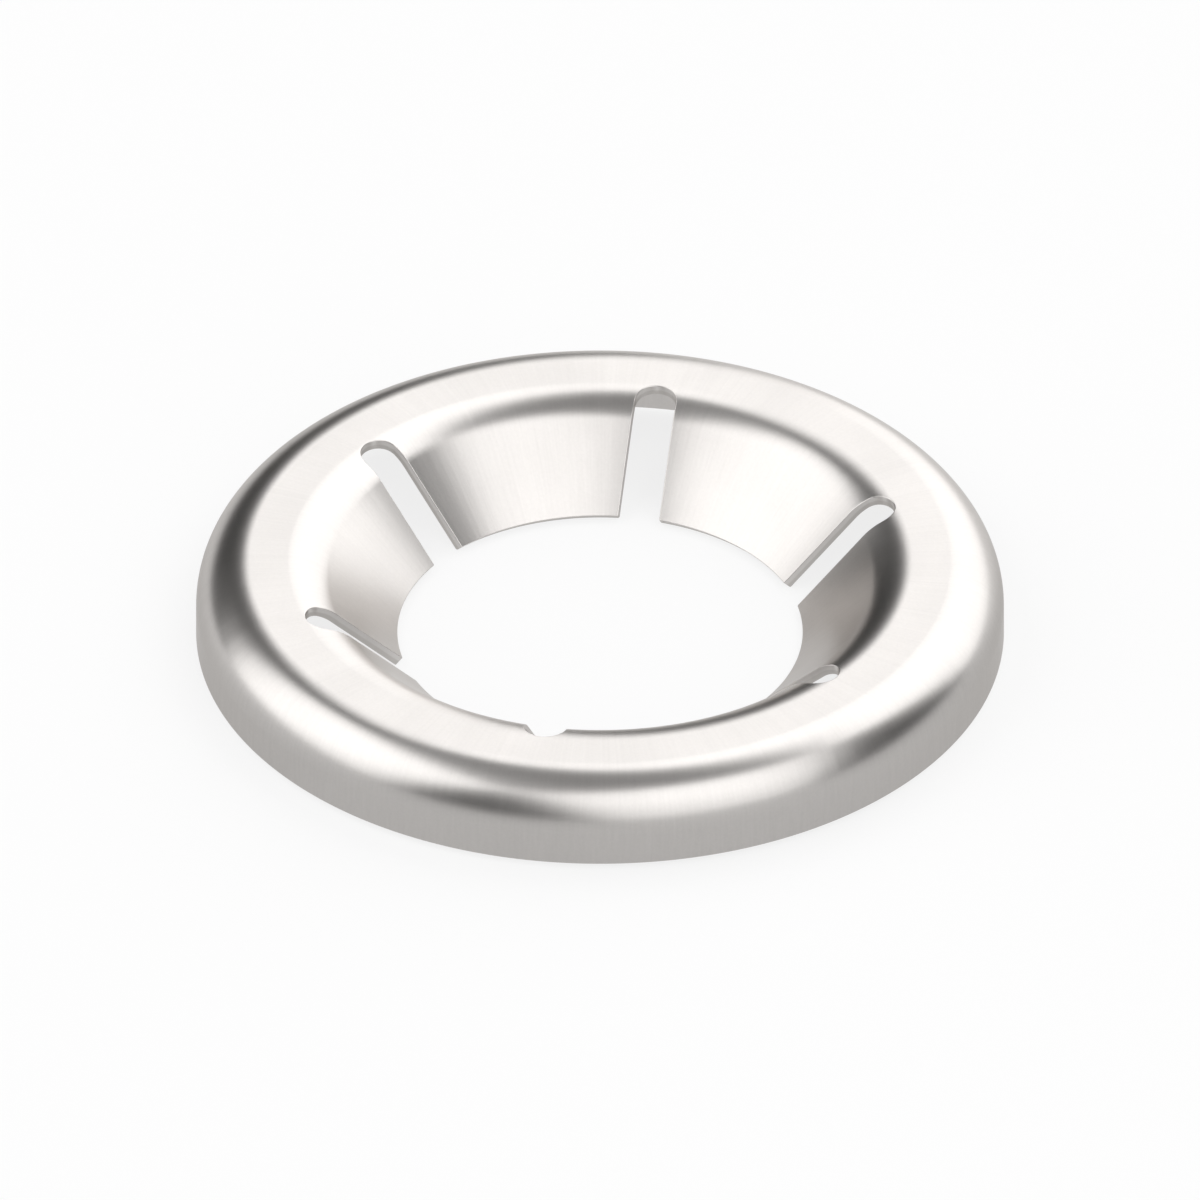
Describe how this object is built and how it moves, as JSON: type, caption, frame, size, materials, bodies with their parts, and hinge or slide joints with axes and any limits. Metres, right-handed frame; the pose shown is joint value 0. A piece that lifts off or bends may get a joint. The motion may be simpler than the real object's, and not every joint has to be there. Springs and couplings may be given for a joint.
{
  "type": "push-on lock washer",
  "caption": "Round pressed-sheet lock washer with a bent-down rim and sloping prongs between round-ended slots, pushed onto a plain shaft to hold parts on it.",
  "frame": {"origin": "on the washer's axis, at the level of the lowest edges of the prong tips, on which it rests", "axes": "+Z along the axis, out of the bearing face, which is the side that the shaft enters; +Y along the middle of one slot"},
  "size_m": [0.0195, 0.0194, 0.0023],
  "materials": {
    "spring_steel": "satin, bright plated"
  },
  "bodies": {
    "root": {"washer": "spring_steel"}
  },
  "joints": []
}
